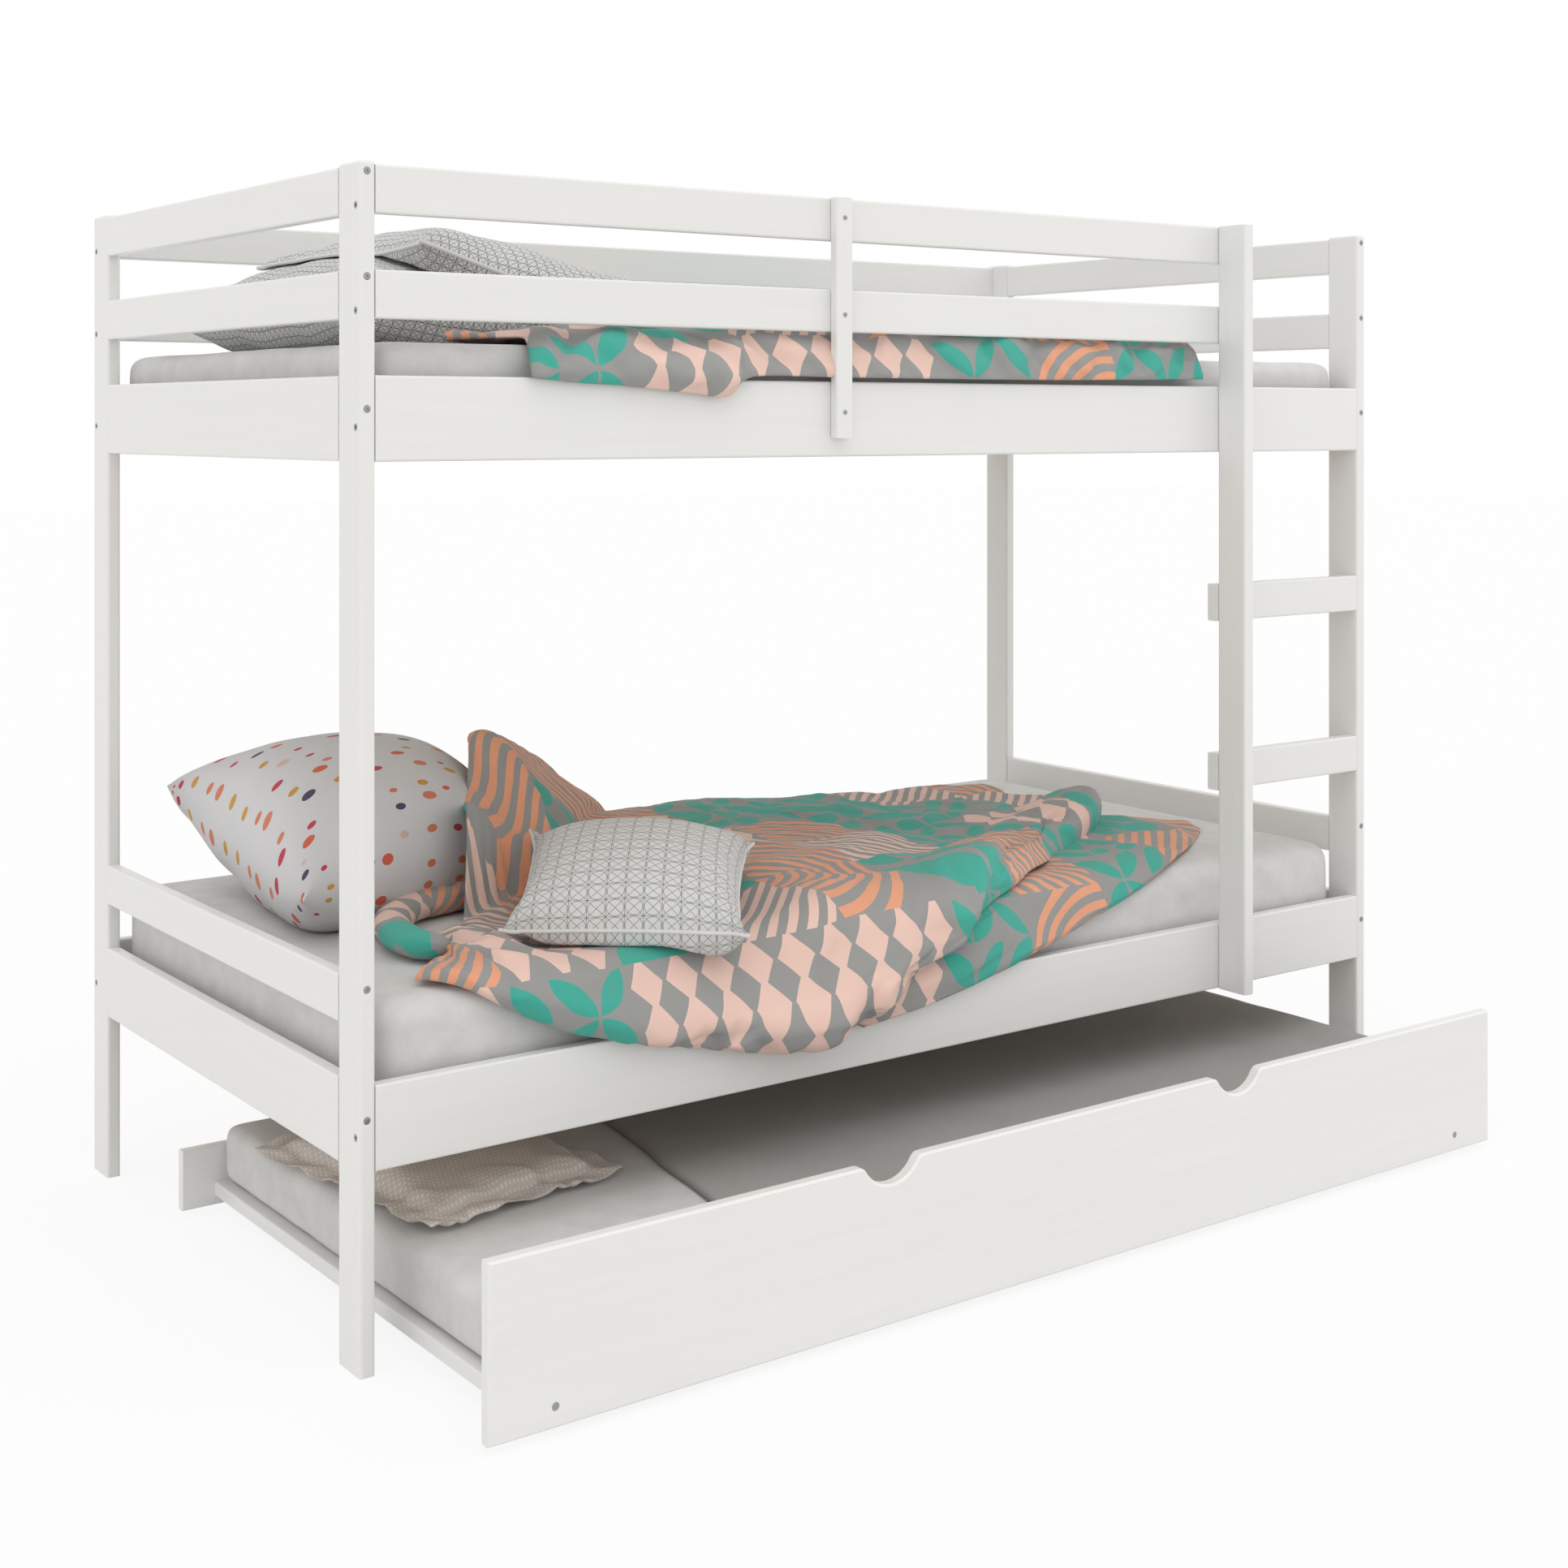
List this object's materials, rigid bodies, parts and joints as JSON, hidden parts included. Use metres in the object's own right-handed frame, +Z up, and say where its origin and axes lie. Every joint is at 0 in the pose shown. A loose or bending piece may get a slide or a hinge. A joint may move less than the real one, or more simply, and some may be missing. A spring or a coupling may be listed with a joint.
{
  "type": "triple bunk bed",
  "caption": "White wooden bunk bed with a front ladder, guard rails all round and a low bed on castors that rolls out from under it, all made up with bedding.",
  "frame": {"origin": "on the floor, at the middle of the object's plan with the trundle where the picture shows it", "axes": "+X along the bed towards the ladder end, +Y from the front to the back, +Z up"},
  "size_m": [1.98, 1.295, 1.569],
  "materials": {
    "white_lacquer": "satin white lacquer",
    "bare_pine": "planed, unfinished",
    "castor_housing": "matt",
    "castor_wheel": "matt",
    "zinc": "zinc-plated",
    "mattress_cloth": "woven cover",
    "duvet_cloth": "printed cotton",
    "blanket_cloth": "soft knit",
    "pillow_cloth": "cotton with small spots",
    "lattice_cloth": "cotton with a thin lattice",
    "dotted_cloth": "cotton with small dots"
  },
  "bodies": {
    "bed": {"post_front_left": "white_lacquer", "post_front_right": "white_lacquer", "post_back_left": "white_lacquer", "post_back_right": "white_lacquer", "front_mid_rail": "white_lacquer", "front_top_rail": "white_lacquer", "back_mid_rail": "white_lacquer", "back_top_rail": "white_lacquer", "left_mid_rail": "white_lacquer", "left_top_rail": "white_lacquer", "right_mid_rail": "white_lacquer", "right_top_rail": "white_lacquer", "upper_front_board": "white_lacquer", "upper_back_board": "white_lacquer", "upper_left_end_board": "white_lacquer", "upper_right_end_board": "white_lacquer", "lower_front_board": "white_lacquer", "lower_back_board": "white_lacquer", "lower_left_end_board": "white_lacquer", "lower_right_end_board": "white_lacquer", "lower_left_end_rail": "white_lacquer", "lower_right_end_rail": "white_lacquer", "ladder_stile": "white_lacquer", "ladder_rung_lower": "white_lacquer", "ladder_rung_upper": "white_lacquer", "guard_upright": "white_lacquer", "lower_front_ledger": "bare_pine", "lower_back_ledger": "bare_pine", "upper_front_ledger": "bare_pine", "upper_back_ledger": "bare_pine", "lower_slat_base": "bare_pine", "upper_slat_base": "bare_pine", "lower_mattress": "mattress_cloth", "upper_mattress": "mattress_cloth", "lower_duvet": "duvet_cloth", "upper_duvet": "duvet_cloth", "lower_pillow": "pillow_cloth", "lower_cushion": "lattice_cloth", "upper_lying_pillow": "lattice_cloth", "upper_top_pillow": "lattice_cloth"},
    "trundle": {"trundle_front_panel": "white_lacquer", "trundle_back_panel": "white_lacquer", "trundle_left_end_rail": "white_lacquer", "trundle_right_end_rail": "white_lacquer", "trundle_front_ledger": "bare_pine", "trundle_back_ledger": "bare_pine", "trundle_slat_base": "bare_pine", "trundle_bolt_left": "zinc", "trundle_bolt_right": "zinc", "trundle_mattress": "mattress_cloth", "trundle_blanket": "blanket_cloth", "trundle_pillow": "dotted_cloth", "castor_front_left_housing": "castor_housing", "castor_front_right_housing": "castor_housing", "castor_back_left_housing": "castor_housing", "castor_back_right_housing": "castor_housing"},
    "castor_front_left_wheel": {"castor_front_left_wheel": "castor_wheel"},
    "castor_front_right_wheel": {"castor_front_right_wheel": "castor_wheel"},
    "castor_back_left_wheel": {"castor_back_left_wheel": "castor_wheel"},
    "castor_back_right_wheel": {"castor_back_right_wheel": "castor_wheel"}
  },
  "joints": [
    {"name": "trundle_slide", "type": "slide", "parent": "bed", "child": "trundle", "axis": [0, -1, 0], "range_m": [-0.287, 0.689]},
    {"name": "castor_front_left_wheel_spin", "type": "hinge", "parent": "trundle", "child": "castor_front_left_wheel", "pos_m": [-0.50467, -0.5719, 0.02], "axis": [1, 0, 0], "continuous": true},
    {"name": "castor_front_right_wheel_spin", "type": "hinge", "parent": "trundle", "child": "castor_front_right_wheel", "pos_m": [0.50467, -0.5719, 0.02], "axis": [1, 0, 0], "continuous": true},
    {"name": "castor_back_left_wheel_spin", "type": "hinge", "parent": "trundle", "child": "castor_back_left_wheel", "pos_m": [-0.50467, 0.2729, 0.02], "axis": [1, 0, 0], "continuous": true},
    {"name": "castor_back_right_wheel_spin", "type": "hinge", "parent": "trundle", "child": "castor_back_right_wheel", "pos_m": [0.50467, 0.2729, 0.02], "axis": [1, 0, 0], "continuous": true}
  ],
  "couplings": [
    {"joint": "castor_front_left_wheel_spin", "follows": "trundle_slide", "rad_per_m": 50},
    {"joint": "castor_front_right_wheel_spin", "follows": "trundle_slide", "rad_per_m": 50},
    {"joint": "castor_back_left_wheel_spin", "follows": "trundle_slide", "rad_per_m": 50},
    {"joint": "castor_back_right_wheel_spin", "follows": "trundle_slide", "rad_per_m": 50}
  ]
}
